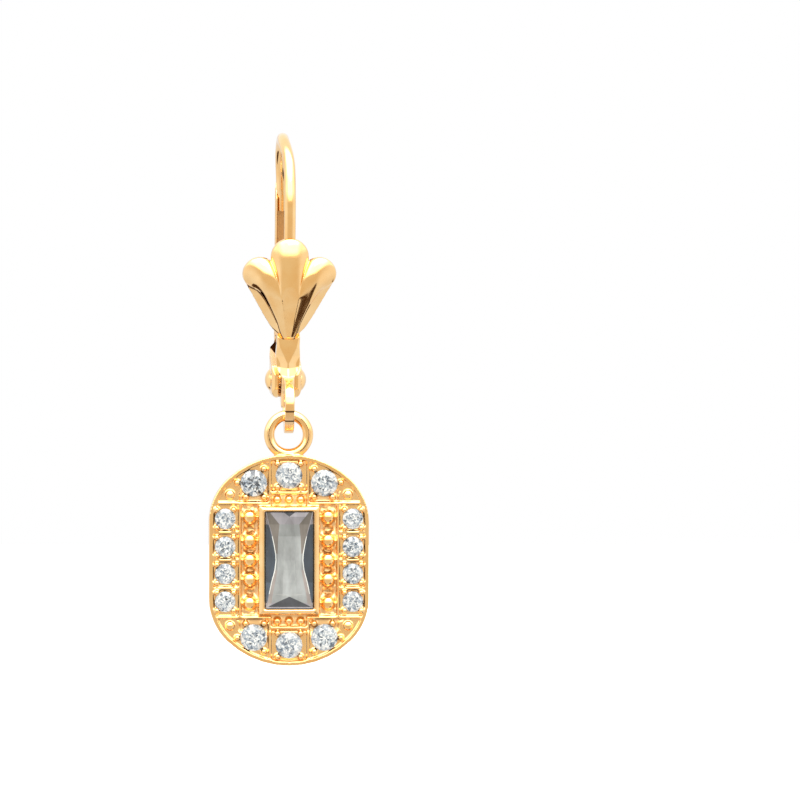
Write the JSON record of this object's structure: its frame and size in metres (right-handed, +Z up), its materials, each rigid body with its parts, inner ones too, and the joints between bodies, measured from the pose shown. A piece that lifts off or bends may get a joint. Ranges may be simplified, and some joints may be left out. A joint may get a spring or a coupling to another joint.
{
  "type": "lever-back dangle earring",
  "caption": "Dangle earring: hooped ear wire with a three-lobed shell, hinged lever back, and a hanging long-oval pendant with a baguette in a bezel and round stones in prongs.",
  "frame": {"origin": "inside top of the hoop, where the ear wire rests in the ear", "axes": "+Z up, -Y the front with the stones, X across the earring"},
  "size_m": [0.0096, 0.011, 0.032],
  "materials": {
    "ear_hook": "polished gold plate on drawn and cast brass",
    "shell_ornament": "polished gold plate on cast brass",
    "lever": "polished gold plate on pressed brass",
    "leaf_spring": "polished gold plate on a thin spring strip",
    "hinge_rivet": "polished gold plate, domed",
    "pendant_frame": "polished gold plate on cast brass, brightest on the rim and beads",
    "baguette": "clear grey stone, step cut, polished",
    "round_stones": "clear white stones, round cut, polished"
  },
  "bodies": {
    "hook": {"ear_hook": "ear_hook", "shell_ornament": "shell_ornament"},
    "lever": {"lever": "lever", "leaf_spring": "leaf_spring", "hinge_rivet": "hinge_rivet"},
    "pendant": {"pendant_frame": "pendant_frame", "centre_stone": "baguette", "stone_top_left": "round_stones", "stone_top_centre": "round_stones", "stone_top_right": "round_stones", "stone_bottom_left": "round_stones", "stone_bottom_centre": "round_stones", "stone_bottom_right": "round_stones", "stone_left_1": "round_stones", "stone_left_2": "round_stones", "stone_left_3": "round_stones", "stone_left_4": "round_stones", "stone_right_1": "round_stones", "stone_right_2": "round_stones", "stone_right_3": "round_stones", "stone_right_4": "round_stones"}
  },
  "joints": [
    {"name": "lever_hinge", "type": "hinge", "parent": "hook", "child": "lever", "pos_m": [0, 0.00136, -0.01418], "axis": [-1, 0, 0], "range_deg": [0, 45]},
    {"name": "pendant_swing", "type": "hinge", "parent": "hook", "child": "pendant", "pos_m": [0, -0.00238, -0.01576], "axis": [-1, 0, 0], "range_deg": [-45, 75]}
  ]
}
